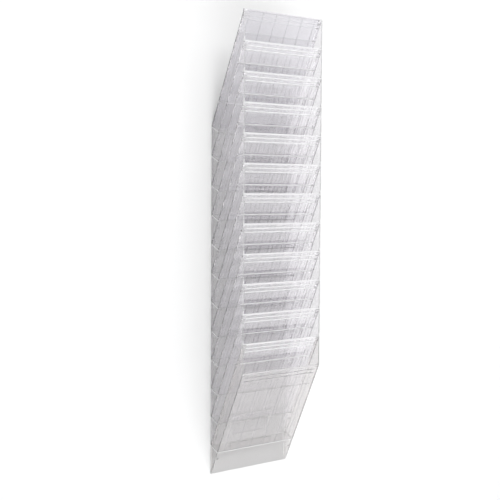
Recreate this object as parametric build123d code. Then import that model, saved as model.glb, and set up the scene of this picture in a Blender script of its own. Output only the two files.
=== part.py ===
"""Wall-hung magazine rack: twelve clear pocket trays that clip into a leaning stack.

Frame: X across the rack, Y towards the wall, Z up, in millimetres. The wall is the
plane Y = 0 and the rack stands in front of it, at negative Y. The origin is the
centre of the four wall-screw holes, on the wall.

Every panel leans out from the wall. Panel 1 is the loose back of the top pocket;
panel n + 1 is the front of tray n and at the same time the back of tray n + 1.
"down" is measured along a panel from its rim, "out" square to it, away from the wall.
"""
import math
import os

from build123d import *

# ---- driving dimensions ------------------------------------------------------------
POCKETS = 12
WIDTH = 240.0  # outside width
DEPTH = 129.0  # from the wall to the upright front edges
PITCH = 71.0  # height from one rim to the next
DROP = 267.0  # height from a rim down to where the same panel meets the wall

WALL = 2.2  # thickness of the panels, sides and floors
JOINT_GAP = 0.2  # between a tray and the panel that it clips onto
FLOOR_FOOT = 0.7  # from the underside of a floor to the lower end of its back panel
CUT_OVER = 1.0  # how far a cut runs past the faces that it opens

RIM_EXTRA = 1.6  # how much thicker the round bead along the top edge is than the wall
BAND_BEADS = (12.6, 22.8)  # stiffening beads of the rim band, down
BEAD_RADIUS = 1.4
BEAD_STAND = 0.9  # how far they stand out of the panel
LINE_DOWN = 55.0  # fine line below the rim band
LINE_WIDTH = 1.4
LINE_STAND = 0.6
SIDE_MARGIN = 11.0  # plain strip between the beads and the outside of the rack

RIB_COUNT = 6  # upright ribs inside each pocket
RIB_MARGIN = 20.0  # from the outside of the rack to the first rib
RIB_WIDTH = 2.4
RIB_STAND = 1.0
RIB_START = 2.0  # down

RETURN_WIDTH = 8.0  # lip along the back edge of each side, on the panel behind it
RETURN_THICK = 1.8
REAR_FLANGE = 8.0  # strip against the wall, from the outside of the rack

BLOCK_LENGTH = 5.5  # corner block behind each end of a rim
BLOCK_DEPTH = 2.4
BLOCK_START = 1.2  # down
PEG = 2.6  # square peg that plugs into the corner block
CLIP_INSET = 4.0  # from the inside of the side wall to the middle of a peg or hook
CLIP_GAP = 0.2  # round a peg or hook in its hole

HOOK_BELOW = 18.0  # from the underside of the next floor up to the snap hook
HOOK_WIDTH = 5.0
HOOK_SHANK = 2.6
HOOK_CATCH = 1.4  # how far the nose reaches past the edge of its slot
HOOK_NOSE = 3.0

HUNG_TRAYS = (2, 11)  # trays whose lips hang on the wall brackets
LIP_INSET = 55.0  # from the outside of the rack to the end of the lip
LIP_THICK = 2.2
LIP_BOTTOM = 14.0  # below the lower end of the tray's back panel
SEAT_GAP = 0.2  # round the lip in its trough

BRACKET_INSET = 10.0  # how much shorter than the lip the bracket is, at each end
BRACKET_THICK = 3.0
BRACKET_CLEAR = 1.5  # between the bracket and the floor above it
TROUGH_LIP = 8.0  # height of the bracket's front lip above its shelf
SCREW_INSET = 15.0  # from the end of the bracket to a screw
SCREW_DROP = 17.0  # from the underside of the trough down to the screws
SCREW_FOOT = 15.0  # from the screws to the lower edge
SCREW_RADIUS = 2.5
SCREW_HEAD_RADIUS = 4.0
SCREW_HEAD_ANGLE = 90.0

# ---- worked out ----------------------------------------------------------------------
LEAN = math.atan2(DEPTH, DROP)  # of the panels, from the vertical
SLANT = math.hypot(DEPTH, DROP)  # length of a panel
SPACING = PITCH * math.sin(LEAN)  # square distance from panel to panel
SHIFT = PITCH * math.cos(LEAN)  # how much further down the slope the next rim lies
INSIDE = WIDTH / 2 - WALL  # half the clear width of a pocket
FLOOR_DOWN = SLANT - FLOOR_FOOT - WALL  # top of the floor, down its back panel
HOOK_DOWN = FLOOR_DOWN - SHIFT + WALL + HOOK_BELOW
CLIP_ACROSS = INSIDE - CLIP_INSET
LIP_WIDTH = WIDTH - 2 * LIP_INSET
BRACKET_WIDTH = LIP_WIDTH - 2 * BRACKET_INSET
SCREW_SPACING = BRACKET_WIDTH - 2 * SCREW_INSET
SCREW_LEVEL = LIP_BOTTOM + SEAT_GAP + BRACKET_THICK + SCREW_DROP
TOP_RIM = DROP + SCREW_LEVEL + (sum(HUNG_TRAYS) / len(HUNG_TRAYS) - 1) * PITCH
PANEL_END = TOP_RIM - DROP  # height at which panel 1 meets the wall


def on_panel(down, out):
    """(Y, Z) of a point on or off panel 1."""
    y = -DEPTH + down * math.sin(LEAN) - out * math.cos(LEAN)
    z = TOP_RIM - down * math.cos(LEAN) - out * math.sin(LEAN)
    return (y, z)


def at_depth(y, out):
    """(Y, Z) where the plane `out` from panel 1 passes the depth y."""
    down = (y + DEPTH + out * math.cos(LEAN)) / math.sin(LEAN)
    return on_panel(down, out)


def in_floor(y, below):
    """(Y, Z) at the depth y, `below` the top of the floor of tray 1."""
    down = FLOOR_DOWN + below
    out = (down * math.sin(LEAN) - DEPTH - y) / math.cos(LEAN)
    return on_panel(down, out)


def prism(outline, width, centre=0.0):
    """A (Y, Z) outline drawn out along X."""
    face = make_face(Polyline(*outline, close=True))
    return extrude(Plane.YZ.offset(centre - width / 2) * face, width, dir=(1, 0, 0))


def slab(down, out, width, centre=0.0):
    """A block lying along panel 1, between two values of down and two of out."""
    corners = [(down[0], out[0]), (down[1], out[0]), (down[1], out[1]), (down[0], out[1])]
    return prism([on_panel(*corner) for corner in corners], width, centre)


def bead(down, out, radius, width):
    """A round bar across panel 1."""
    y, z = on_panel(down, out)
    end = Plane(origin=(-width / 2, y, z), x_dir=(0, 1, 0), z_dir=(1, 0, 0))
    return extrude(end * Circle(radius), width)


def both_sides(piece):
    """The piece and its mirror image across the middle of the rack."""
    return [piece, mirror(piece, about=Plane.YZ)]


# ---- a panel, standing as panel 1 ------------------------------------------------------
def panel_plate():
    """Flat sheet with a round rim, cut off upright where it meets the wall."""
    radius = (WALL + RIM_EXTRA) / 2
    sheet = [
        on_panel(radius, 0),
        on_panel(radius, -WALL),
        at_depth(0, -WALL),
        at_depth(0, 0),
    ]
    return prism(sheet, WIDTH) + bead(radius, -radius, radius, WIDTH)


def rim_band():
    """Two stiffening beads below the rim and the fine line below them."""
    across = WIDTH - 2 * SIDE_MARGIN
    beads = [bead(down, BEAD_STAND - BEAD_RADIUS, BEAD_RADIUS, across) for down in BAND_BEADS]
    line = slab((LINE_DOWN, LINE_DOWN + LINE_WIDTH), (-WALL / 2, LINE_STAND), across)
    return beads + [line]


def back_ribs():
    """Thin ribs down the back of the panel, which keep paper from clinging to it."""
    span = WIDTH - 2 * RIB_MARGIN
    places = [span * (n / (RIB_COUNT - 1) - 0.5) for n in range(RIB_COUNT)]
    length = (RIB_START, FLOOR_DOWN - SHIFT + WALL / 2)
    return [slab(length, (-WALL - RIB_STAND, -WALL / 2), RIB_WIDTH, x) for x in places]


def corner_blocks():
    """Blocks behind the ends of the rim that take the pegs of the tray below."""
    length = (BLOCK_START, BLOCK_START + BLOCK_LENGTH)
    reach = BLOCK_LENGTH + WALL / 2
    deep = (-WALL - BLOCK_DEPTH, -WALL / 2)
    return both_sides(slab(length, deep, reach, INSIDE + WALL / 2 - reach / 2))


def clip_openings():
    """Square holes for the pegs and slots for the snap hooks."""
    middle = BLOCK_START + BLOCK_LENGTH / 2
    half = PEG / 2 + CLIP_GAP
    through = (-WALL - BLOCK_DEPTH - CUT_OVER, CUT_OVER)
    peg_hole = slab((middle - half, middle + half), through, 2 * half, CLIP_ACROSS)
    slot = slab(
        (HOOK_DOWN - HOOK_CATCH - CLIP_GAP, HOOK_DOWN + HOOK_SHANK + CLIP_GAP),
        (-WALL - CUT_OVER, CUT_OVER),
        HOOK_WIDTH + 2 * CLIP_GAP,
        CLIP_ACROSS,
    )
    return both_sides(peg_hole) + both_sides(slot)


def finished_panel():
    """Plate with its rim band, ribs, corner blocks and clip openings."""
    return panel_plate() + rim_band() + back_ribs() + corner_blocks() - clip_openings()


# ---- a tray, standing as tray 1 ----------------------------------------------------------
def side_walls():
    """Ends of the pocket, with upright front and wall edges."""
    outline = [
        at_depth(-DEPTH, JOINT_GAP),
        at_depth(-DEPTH, SPACING),
        at_depth(0, SPACING),
        at_depth(0, JOINT_GAP),
    ]
    return both_sides(prism(outline, WALL, WIDTH / 2 - WALL / 2))


def side_returns():
    """Lips along the back edges of the side walls, lying on the panel behind."""
    front = JOINT_GAP + RETURN_THICK
    foot = FLOOR_DOWN + WALL / 2
    outline = [
        at_depth(-DEPTH, JOINT_GAP),
        at_depth(-DEPTH, front),
        on_panel(foot, front),
        on_panel(foot, JOINT_GAP),
    ]
    reach = RETURN_WIDTH + WALL / 2
    return both_sides(prism(outline, reach, INSIDE + WALL / 2 - reach / 2))


def pocket_floor():
    """Floor square to the panels, from the back panel to the front one."""
    length = (FLOOR_DOWN, FLOOR_DOWN + WALL)
    return slab(length, (JOINT_GAP, SPACING - WALL / 2), WIDTH - WALL)


def rear_flanges():
    """Upright strips that stand both edges of the tray against the wall."""
    top = at_depth(0, JOINT_GAP)
    outline = [
        top,
        (-WALL, top[1]),
        at_depth(-WALL, SPACING - WALL / 2),
        at_depth(0, SPACING - WALL / 2),
    ]
    return both_sides(prism(outline, REAR_FLANGE, WIDTH / 2 - REAR_FLANGE / 2))


def hanging_lip():
    """Upright lip below the floor that drops into a wall bracket."""
    back = -BRACKET_THICK - SEAT_GAP
    front = back - LIP_THICK
    low = PANEL_END - LIP_BOTTOM
    outline = [
        in_floor(back, WALL / 2),
        (back, low),
        (front, low),
        in_floor(front, WALL / 2),
    ]
    return prism(outline, LIP_WIDTH)


def pegs():
    """Square pegs that plug into the corner blocks of the panel behind."""
    middle = BLOCK_START + BLOCK_LENGTH / 2
    length = (middle - PEG / 2, middle + PEG / 2)
    reach = (-WALL - BLOCK_DEPTH, JOINT_GAP + RETURN_THICK / 2)
    return both_sides(slab(length, reach, PEG, CLIP_ACROSS))


def snap_hooks():
    """Hooks that snap behind the lower edges of the slots in the panel behind."""
    root = JOINT_GAP + RETURN_THICK / 2
    catch = -WALL - CLIP_GAP
    edge = HOOK_DOWN + HOOK_SHANK
    outline = [
        on_panel(HOOK_DOWN, root),
        on_panel(HOOK_DOWN, catch - HOOK_NOSE),
        on_panel(edge, catch - HOOK_NOSE),
        on_panel(edge + HOOK_CATCH, catch),
        on_panel(edge, catch),
        on_panel(edge, root),
    ]
    return both_sides(prism(outline, HOOK_WIDTH, CLIP_ACROSS))


def pocket_tray():
    """One moulding: front panel, sides, floor, wall flanges, lip and clips."""
    front = Pos(0, 0, -PITCH) * finished_panel()
    box = side_walls() + side_returns() + rear_flanges() + [pocket_floor()]
    clips = pegs() + snap_hooks() + [hanging_lip()]
    return front + box + clips


# ---- wall bracket, for tray 1 ------------------------------------------------------------
def wall_bracket():
    """Plate screwed to the wall, with a trough that carries a tray's lip."""
    shelf_top = PANEL_END - LIP_BOTTOM - SEAT_GAP
    shelf_low = shelf_top - BRACKET_THICK
    foot = PANEL_END - SCREW_LEVEL - SCREW_FOOT
    head = in_floor(-BRACKET_THICK, WALL)[1] - BRACKET_CLEAR
    inner = -BRACKET_THICK - LIP_THICK - 2 * SEAT_GAP
    outer = inner - BRACKET_THICK
    outline = [
        (0, head),
        (0, foot),
        (-BRACKET_THICK, foot),
        (-BRACKET_THICK, shelf_low),
        (outer, shelf_low),
        (outer, shelf_top + TROUGH_LIP),
        (inner, shelf_top + TROUGH_LIP),
        (inner, shelf_top),
        (-BRACKET_THICK, shelf_top),
        (-BRACKET_THICK, head),
    ]
    body = prism(outline, BRACKET_WIDTH)
    for x in (-SCREW_SPACING / 2, SCREW_SPACING / 2):
        front = (x, -BRACKET_THICK, PANEL_END - SCREW_LEVEL)
        mouth = Plane(origin=front, x_dir=(1, 0, 0), z_dir=(0, -1, 0))
        body -= mouth * CounterSinkHole(
            SCREW_RADIUS, SCREW_HEAD_RADIUS, BRACKET_THICK, SCREW_HEAD_ANGLE
        )
    return body


# ---- write the parts ------------------------------------------------------------------------
def save(piece, name):
    """One STEP file per sub-part, named after its node."""
    export_step(piece, f"parts/{name}.step")


os.makedirs("parts", exist_ok=True)
save(finished_panel(), "top_back_panel")
tray = pocket_tray()
for number in range(1, POCKETS + 1):
    save(Pos(0, 0, -(number - 1) * PITCH) * tray, f"pocket_tray_{number:02d}")
bracket = wall_bracket()
for number, name in zip(HUNG_TRAYS, ("upper", "lower")):
    save(Pos(0, 0, -(number - 1) * PITCH) * bracket, f"wall_bracket_{name}")
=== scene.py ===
import math
from functools import reduce

import bpy
from mathutils import Euler, Matrix, Vector


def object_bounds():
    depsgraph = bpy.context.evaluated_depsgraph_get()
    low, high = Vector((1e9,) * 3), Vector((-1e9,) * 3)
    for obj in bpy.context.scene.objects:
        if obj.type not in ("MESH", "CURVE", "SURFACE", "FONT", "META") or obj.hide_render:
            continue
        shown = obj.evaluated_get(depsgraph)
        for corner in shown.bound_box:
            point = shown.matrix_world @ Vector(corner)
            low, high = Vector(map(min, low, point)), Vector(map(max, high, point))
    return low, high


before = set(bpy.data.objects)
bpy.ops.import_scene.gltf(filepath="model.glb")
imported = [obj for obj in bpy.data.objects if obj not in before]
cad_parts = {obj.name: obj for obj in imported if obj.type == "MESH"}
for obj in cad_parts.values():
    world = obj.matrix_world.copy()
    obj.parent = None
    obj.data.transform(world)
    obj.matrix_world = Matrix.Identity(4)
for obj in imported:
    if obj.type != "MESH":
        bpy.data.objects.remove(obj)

scene = bpy.context.scene
cad_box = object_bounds()
LOW, HIGH = cad_box

# ---- stage: sizes in metres ------------------------------------------------------------------
WALL_GAP = 0.0006  # between the back of the rack and the wall
FLOOR_BELOW = 0.75  # from the foot of the rack down to the floor
STAGE_REACH = 6.0  # how far the wall and the floor run
PAINT = 0.95  # how pale the wall and the floor are
FLOOR_GLOW = 0.45  # makes the floor white to the camera, in gloss and through clear plastic

# ---- light -----------------------------------------------------------------------------------
KEY_PLACE = (3.6, -6.4, 5.2)
KEY_SIZE = (2.6, 2.6)
KEY_POWER = 128.0
FILL_PLACE = (-0.7, -8.0, 6.0)
FILL_SIZE = (4.0, 3.0)
FILL_POWER = 726.0
SKY_COLOUR = (0.97, 0.98, 1.0, 1.0)
SKY = 0.8  # strength in gloss and through clear plastic
SKY_DIFFUSE = 0.10  # strength as light on matt surfaces

# ---- camera ----------------------------------------------------------------------------------
CAMERA_PLACE = (-1.5444, -1.9991, 0.2702)
CAMERA_RISE = -3.318  # degrees above the level
CAMERA_TURN = -37.678  # degrees from looking straight at the wall
CAMERA_ROLL = 0.319  # degrees
LENS = 72.5  # millimetres
SENSOR = 36.0  # millimetres across
NEAREST, FARTHEST = 0.05, 50.0  # metres

# ---- clear plastic ---------------------------------------------------------------------------
# painted highlight: at rims, beads, joints and edges a surface loses clearness and turns from its own
# tint to the matt white line tint, which stands for the bright lines these mouldings make by bending
# light
TRAY_LOOK = dict(tint=(0.993, 0.984, 1.0), clear=0.935, ior=1.68, rim_highlight=0.6, line_highlight=0.85)
# painted shade: the top panel is the same plastic as the trays, given a darker tint and less clearness
# so that it looks shaded
TOP_SHADED_LOOK = dict(tint=(0.85, 0.836, 0.88), clear=0.84, ior=1.42, rim_highlight=0.05, line_highlight=0.3)
# painted shade: the lowest tray is the same plastic, given a greyer, warmer tint so that the foot of
# the rack looks darker
LOW_SHADED_LOOK = dict(tint=(0.92, 0.905, 0.905), clear=0.935, ior=1.68, rim_highlight=0.3, line_highlight=0.15)
BRACKET_LOOK = dict(tint=(0.993, 0.984, 1.0), clear=0.935, ior=1.2)
# painted highlight: the matt white that the rims, beads, joints and edges turn to
HIGHLIGHT_TINT = (0.99, 0.99, 1.0)
# painted shade: the darker tint on the rib tops stands for the dark lines that the ribs make by
# bending light
RIB_SHADE_TINT = (0.80, 0.78, 0.82)
JOINT_HIGHLIGHT = 0.9  # painted highlight where a floor meets its panel
EDGE_HIGHLIGHT = 0.3  # painted highlight along the upright front edges
BAND_HIGHLIGHT = 0.12  # share of the lines' painted highlight that also lies between them, up to the rim
RIPPLE_SCALE = 22.0  # ripples to a metre, about
RIPPLE_DETAIL = 2.0
RIPPLE_DEPTH = 0.0004  # metres
RIPPLE_BUMP = 0.05  # share of that depth that shows
CALM, CREST = 0.35, 0.7  # the noise between the ripples and on them
SMOOTH, ROUGH = 0.01, 0.03  # the roughness there
FILM = 0.905  # share of the lamps' light that passes one face
CLEAR_BOUNCES = 40  # a ray through the stack crosses two faces of each wall
FILM_BOUNCES = 64
GLOSSY_BOUNCES = 12
DIFFUSE_BOUNCES = 3

# ---- mouldings: sizes in metres, the same as in the part's source ----------------------------
POCKETS = 12
DEPTH = -LOW.y
PITCH = 0.071
DROP = 0.267
WALL = 0.0022
FLOOR_FOOT = 0.0007  # from the underside of a floor to the lower end of its back panel
RIM = 0.0038  # across the round bead along the top edge
RIB_STAND = 0.001
LEAN = math.atan2(DEPTH, DROP)
SPACING = PITCH * math.sin(LEAN)  # from one panel to the next, square to them
SHIFT = PITCH * math.cos(LEAN)  # from one rim to the next, along the panels
TOP_RIM = LOW.z + POCKETS * PITCH + DROP
FLOOR_FROM_BACK_RIM = math.hypot(DEPTH, DROP) - FLOOR_FOOT - WALL / 2
FLOOR_DOWN = FLOOR_FROM_BACK_RIM - SHIFT  # on a tray's front panel

# ---- lines with painted highlight: sizes in metres -------------------------------------------
BAND_LINES = (  # down, width, share of the lines' painted highlight
    (0.0126, 0.0026, 1.0),
    (0.0228, 0.0026, 1.0),
    (0.0557, 0.0024, 1.1),
)
BAND_END = 0.0242  # down
PROUD = 0.001  # the beads stand less than this out of their panel
FRONT_SKIN = 0.0006  # a point less than this behind the front of its panel is on its front face
RIB_SKIN = 0.0009  # the painted shade on the ribs reaches this far to either side of their top face
RIB_REACH = 0.104  # no rib lies further than this from the middle of the rack
FLOOR_LINE = 0.0018  # width
EDGE_LINE = 0.0012  # width


# ---- node helpers ----------------------------------------------------------------------------
def new_tree(owner):
    """The emptied node tree of a material or world."""
    owner.use_nodes = True
    owner.node_tree.nodes.clear()
    return owner.node_tree


def feed(tree, socket, value):
    """Set an input to a number or colour, or link another node's output to it."""
    if isinstance(value, bpy.types.NodeSocket):
        tree.links.new(value, socket)
    else:
        socket.default_value = value


def add_node(tree, kind, inputs, **settings):
    """The outputs of a new shader node."""
    node = tree.nodes.new("ShaderNode" + kind)
    for key, value in settings.items():
        setattr(node, key, value)
    for key, value in inputs.items():
        feed(tree, node.inputs[key], value)
    return node.outputs


def maths(tree, operation, *values):
    return add_node(tree, "Math", dict(enumerate(values)), operation=operation)[0]


def product(tree, *values):
    return reduce(lambda one, other: maths(tree, "MULTIPLY", one, other), values)


def largest(tree, *values):
    return reduce(lambda one, other: maths(tree, "MAXIMUM", one, other), values)


# ---- clear polystyrene -----------------------------------------------------------------------
def highlight_and_rib_shade(tree, place, rim_highlight, line_highlight):
    """Painted highlight on the rims, beads, joints and edges, and where the ribs lie.

    The first is how much of the plastic turns matt white to stand for the bright lines that
    these mouldings make by bending light; the second marks the ribs, which take painted shade.
    Both are 0 on the flat faces, apart from a faint painted highlight between the rim and the
    lower bead. As in the part's source, "down" is measured along a panel from its rim and
    "out" square to it, away from the wall.
    """
    axes = add_node(tree, "SeparateXYZ", {0: place})
    inward = maths(tree, "ADD", axes["Y"], DEPTH)
    below = maths(tree, "SUBTRACT", TOP_RIM, axes["Z"])

    # first from the top panel, then from the panel that the place is on
    down = maths(tree, "MULTIPLY_ADD", inward, math.sin(LEAN), product(tree, below, math.cos(LEAN)))
    out = maths(tree, "MULTIPLY_ADD", inward, -math.cos(LEAN), product(tree, below, math.sin(LEAN)))
    steps = maths(tree, "DIVIDE", maths(tree, "SUBTRACT", out, PROUD), SPACING)
    panels_behind = maths(tree, "CEIL", steps)
    down = maths(tree, "MULTIPLY_ADD", panels_behind, -SHIFT, down)
    out = maths(tree, "MULTIPLY_ADD", panels_behind, -SPACING, out)

    front = maths(tree, "GREATER_THAN", out, -FRONT_SKIN)
    rim = product(tree, maths(tree, "LESS_THAN", down, RIM), maths(tree, "GREATER_THAN", out, -RIM))
    band_highlight = product(tree, maths(tree, "LESS_THAN", down, BAND_END), front)
    joint = maths(tree, "COMPARE", down, FLOOR_DOWN, FLOOR_LINE / 2)
    edge = maths(tree, "LESS_THAN", inward, EDGE_LINE)
    lines = [
        product(tree, maths(tree, "COMPARE", down, middle, width / 2), front, line_highlight * share)
        for middle, width, share in BAND_LINES
    ]
    # painted highlight: the strongest of these marks, which turns the plastic matt white
    painted_highlight = largest(
        tree,
        product(tree, rim, rim_highlight),
        product(tree, band_highlight, line_highlight * BAND_HIGHLIGHT),
        product(tree, joint, JOINT_HIGHLIGHT),
        product(tree, edge, EDGE_HIGHLIGHT),
        *lines,
    )
    # painted shade: where the rib tops lie, to be tinted darker
    at_top = maths(tree, "COMPARE", out, -WALL - RIB_STAND, RIB_SKIN)
    inside = maths(tree, "LESS_THAN", maths(tree, "ABSOLUTE", axes["X"]), RIB_REACH)
    return painted_highlight, product(tree, at_top, inside)


def clear_material(name, ior):
    """Glossy plastic with faint ripples, which lets the lamps' light through.

    Returns the material, its main shader, which still takes a colour and a clearness, and
    the place on the object.
    """
    material = bpy.data.materials.new(name)
    tree = new_tree(material)
    place = add_node(tree, "TexCoord", {})["Object"]
    noise = {"Vector": place, "Scale": RIPPLE_SCALE, "Detail": RIPPLE_DETAIL}
    ripple = add_node(tree, "TexNoise", noise)["Fac"]
    bump = {"Height": ripple, "Strength": RIPPLE_BUMP, "Distance": RIPPLE_DEPTH}
    gloss = {"Value": ripple, "From Min": CALM, "From Max": CREST, "To Min": SMOOTH, "To Max": ROUGH}
    surface = {
        "IOR": ior,
        "Roughness": add_node(tree, "MapRange", gloss)["Result"],
        "Normal": add_node(tree, "Bump", bump)["Normal"],
    }
    plastic = add_node(tree, "BsdfPrincipled", surface)[0]
    film = add_node(tree, "BsdfTransparent", {"Color": (FILM, FILM, FILM, 1)})[0]
    shadow_ray = add_node(tree, "LightPath", {})["Is Shadow Ray"]
    mix = add_node(tree, "MixShader", {"Fac": shadow_ray, 1: plastic, 2: film})[0]
    add_node(tree, "OutputMaterial", {"Surface": mix})
    return material, plastic.node, place


def moulded_plastic(name, tint, clear, ior, rim_highlight, line_highlight):
    """Clear plastic of a panel or tray, with painted highlight on its lines and painted shade on its
    ribs.
    """
    material, plastic, place = clear_material(name, ior)
    tree = material.node_tree
    painted_highlight, rib = highlight_and_rib_shade(tree, place, rim_highlight, line_highlight)
    # painted highlight: where the lines are, the tint turns to matt white and the clearness drops
    highlighted = add_node(tree, "MixRGB", {"Fac": painted_highlight, 1: (*tint, 1), 2: (*HIGHLIGHT_TINT, 1)})[0]
    # painted shade: the rib tops are tinted darker
    rib_shaded = add_node(tree, "MixRGB", {"Fac": rib, 1: highlighted, 2: (*RIB_SHADE_TINT, 1)})[0]
    feed(tree, plastic.inputs["Base Color"], rib_shaded)
    feed(tree, plastic.inputs["Transmission Weight"], maths(tree, "SUBTRACT", clear, painted_highlight))
    return material


def plain_plastic(name, tint, clear, ior):
    """The same plastic with no lines on it."""
    material, plastic, _ = clear_material(name, ior)
    plastic.inputs["Base Color"].default_value = (*tint, 1)
    plastic.inputs["Transmission Weight"].default_value = clear
    return material


# ---- stage -----------------------------------------------------------------------------------
def matt_paint(name, glow=0.0):
    """Matt white paint, seen from its front only."""
    material = bpy.data.materials.new(name)
    tree = new_tree(material)
    front = add_node(tree, "BsdfDiffuse", {"Color": (PAINT, PAINT, PAINT, 1)})[0]
    if glow:
        rays = add_node(tree, "LightPath", {})
        seen = largest(tree, rays["Is Camera Ray"], rays["Is Glossy Ray"], rays["Is Transmission Ray"])
        light = add_node(tree, "Emission", {"Strength": product(tree, seen, glow)})[0]
        front = add_node(tree, "AddShader", {0: front, 1: light})[0]
        material.cycles.emission_sampling = "NONE"
    back = add_node(tree, "BsdfTransparent", {})[0]
    side = add_node(tree, "NewGeometry", {})["Backfacing"]
    sheet = add_node(tree, "MixShader", {"Fac": side, 1: front, 2: back})[0]
    add_node(tree, "OutputMaterial", {"Surface": sheet})
    return material


def add_sheet(name, corners, material):
    """A flat piece of the stage. From its front, its corners run anticlockwise."""
    mesh = bpy.data.meshes.new(name)
    mesh.from_pydata(corners, [], [range(len(corners))])
    mesh.materials.append(material)
    sheet = bpy.data.objects.new(name, mesh)
    scene.collection.objects.link(sheet)


def make_stage():
    """A wall right behind the rack and a floor below it."""
    left, right = -STAGE_REACH, STAGE_REACH
    near, wall = -STAGE_REACH, HIGH.y + WALL_GAP
    floor = LOW.z - FLOOR_BELOW
    top = floor + STAGE_REACH
    upright = [(right, wall, floor), (right, wall, top), (left, wall, top), (left, wall, floor)]
    level = [(left, near, floor), (right, near, floor), (right, wall, floor), (left, wall, floor)]
    add_sheet("studio_wall", upright, matt_paint("wall_paint"))
    add_sheet("studio_floor", level, matt_paint("floor_paint", FLOOR_GLOW))


# ---- light -----------------------------------------------------------------------------------
def make_sky():
    """Even, faintly blue surroundings, white to the camera and dim on matt surfaces."""
    world = bpy.data.worlds.new("studio")
    scene.world = world
    tree = new_tree(world)
    rays = add_node(tree, "LightPath", {})
    shown = add_node(tree, "Background", {"Color": SKY_COLOUR, "Strength": SKY})[0]
    dim = add_node(tree, "Background", {"Color": SKY_COLOUR, "Strength": SKY_DIFFUSE})[0]
    white = add_node(tree, "Background", {"Color": (1, 1, 1, 1), "Strength": 1.0})[0]
    around = add_node(tree, "MixShader", {"Fac": rays["Is Diffuse Ray"], 1: shown, 2: dim})[0]
    behind = add_node(tree, "MixShader", {"Fac": rays["Is Camera Ray"], 1: around, 2: white})[0]
    add_node(tree, "OutputWorld", {"Surface": behind})


def area_lamp(name, place, size, power):
    """A softbox that points at the middle of the rack."""
    data = bpy.data.lights.new(name, "AREA")
    data.shape = "RECTANGLE"
    data.size, data.size_y = size
    data.energy = power
    lamp = bpy.data.objects.new(name, data)
    lamp.location = place
    lamp.rotation_euler = ((LOW + HIGH) / 2 - Vector(place)).to_track_quat("-Z", "Y").to_euler()
    scene.collection.objects.link(lamp)
    return data


def make_light():
    make_sky()
    area_lamp("key", KEY_PLACE, KEY_SIZE, KEY_POWER)
    fill = area_lamp("fill", FILL_PLACE, FILL_SIZE, FILL_POWER)
    fill.cycles.use_multiple_importance_sampling = False  # so it leaves no glare on the panels


# ---- camera ----------------------------------------------------------------------------------
def make_camera():
    """The photograph's viewpoint: 2.5 m off, to the left, level with the middle rims."""
    data = bpy.data.cameras.new("camera")
    data.sensor_width = SENSOR
    data.lens = LENS
    data.clip_start = NEAREST
    data.clip_end = FARTHEST
    camera = bpy.data.objects.new("camera", data)
    camera.location = CAMERA_PLACE
    aim = Euler((math.radians(90 + CAMERA_RISE), 0, math.radians(CAMERA_TURN))).to_matrix()
    roll = Matrix.Rotation(math.radians(CAMERA_ROLL), 3, "Z")
    camera.rotation_euler = (aim @ roll).to_euler()
    scene.collection.objects.link(camera)
    scene.camera = camera


# ---- the rack itself -------------------------------------------------------------------------
def dress():
    """Give every CAD node its plastic; the shapes are the part's own."""
    tray = moulded_plastic("clear_polystyrene", **TRAY_LOOK)
    # painted shade: the top panel gets a darker, less clear copy of the tray plastic
    top = moulded_plastic("clear_polystyrene_top_shaded", **TOP_SHADED_LOOK)
    # painted shade: the lowest tray gets a greyer copy of the tray plastic
    low = moulded_plastic("clear_polystyrene_low_shaded", **LOW_SHADED_LOOK)
    bracket = plain_plastic("clear_bracket", **BRACKET_LOOK)
    own = {
        "top_back_panel": top,
        f"pocket_tray_{POCKETS:02d}": low,
        "wall_bracket_upper": bracket,
        "wall_bracket_lower": bracket,
    }
    for name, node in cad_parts.items():
        node.data.materials.clear()
        node.data.materials.append(own.get(name, tray))


def let_light_through():
    """Allow for the dozen clear walls between the camera and the wall."""
    cycles = scene.cycles
    cycles.max_bounces = CLEAR_BOUNCES
    cycles.transmission_bounces = CLEAR_BOUNCES
    cycles.transparent_max_bounces = FILM_BOUNCES
    cycles.glossy_bounces = GLOSSY_BOUNCES
    cycles.diffuse_bounces = DIFFUSE_BOUNCES
    cycles.caustics_reflective = False
    cycles.caustics_refractive = False


dress()
make_stage()
make_light()
make_camera()
let_light_through()
scene.view_settings.view_transform = "Standard"
